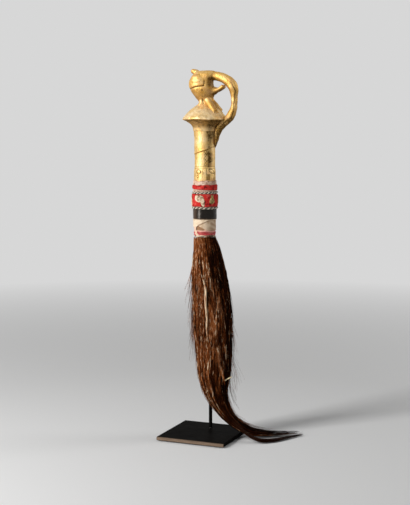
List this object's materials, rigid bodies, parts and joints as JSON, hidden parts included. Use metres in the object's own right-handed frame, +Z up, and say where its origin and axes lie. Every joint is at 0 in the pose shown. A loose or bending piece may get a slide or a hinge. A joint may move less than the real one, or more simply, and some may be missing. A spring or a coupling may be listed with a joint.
{
  "type": "fly whisk",
  "caption": "Carved whisk on a display stand: gilt animal finial, wrapped handle, and a long hair tail that swings and lifts off its post.",
  "frame": {"origin": "centre of the underside of the felt under the stand's plate", "axes": "+Z up along the handle; +X to the right edge of the plate, the way the carved animal faces; -Y to the plate's front edge, away from the post"},
  "size_m": [0.1706, 0.1152, 0.5196],
  "materials": {
    "black_steel": "satin black paint",
    "screw_steel": "plain turned steel",
    "grey_felt": "thin dark felt",
    "core_wood": "raw carved wood",
    "gilt_wood": "carved wood under thin gold sheet, worn in the hollows",
    "gold_sheet": "thin gold sheet, pressed and lightly wrinkled",
    "pale_cloth": "undyed cotton",
    "red_cloth": "red cotton cloth and thread",
    "pale_thread": "two-ply twisted cord",
    "green_thread": "twisted cotton thread",
    "black_leather": "smooth polished black leather",
    "pale_hide": "dry pale hide",
    "brown_hide": "dry brown hide",
    "brown_hair": "coarse reddish-brown to black hair",
    "pale_hair": "coarse pale tan hair"
  },
  "bodies": {
    "stand": {"base_plate": "black_steel", "felt_pad": "grey_felt", "post": "black_steel", "post_screw": "screw_steel", "saddle": "black_steel", "saddle_pad": "grey_felt"},
    "handle": {"handle_core": "core_wood", "collar": "gilt_wood", "finial_body": "gilt_wood", "finial_trunk": "gilt_wood", "ear_near": "gilt_wood", "ear_far": "gilt_wood", "tusk_near": "gilt_wood", "tusk_far": "gilt_wood", "tail_nub": "gilt_wood", "gold_sheet_upper": "gold_sheet", "gold_sheet_lower": "gold_sheet", "linen_wrap": "pale_cloth", "red_band_narrow": "red_cloth", "red_band_wide": "red_cloth", "patch_1": "pale_cloth", "patch_2": "pale_cloth", "patch_3": "pale_cloth", "patch_4": "pale_cloth", "patch_5": "pale_cloth", "cord_upper": "pale_thread", "cord_lower": "pale_thread", "leather_band": "black_leather", "hide_strip_upper": "pale_hide", "hide_strip_lower": "pale_hide", "hide_sleeve": "brown_hide", "thread_red": "red_cloth", "thread_green": "green_thread", "hair_skirt": "brown_hair"},
    "tail": {"hair_lock_right": "brown_hair", "hair_lock_back": "brown_hair", "hair_lock_left": "brown_hair", "hair_lock_front": "brown_hair", "hair_lock_pale": "pale_hair"}
  },
  "joints": [
    {"name": "whisk_lift", "type": "slide", "parent": "stand", "child": "handle", "axis": [0, 0, 1], "range_m": [0, 0.018]},
    {"name": "tail_swing", "type": "hinge", "parent": "handle", "child": "tail", "pos_m": [0, 0.0045, 0.272], "axis": [-0.9232, -0.3843, 0], "range_deg": [0, 60], "deforming": ["hair_skirt"]}
  ]
}
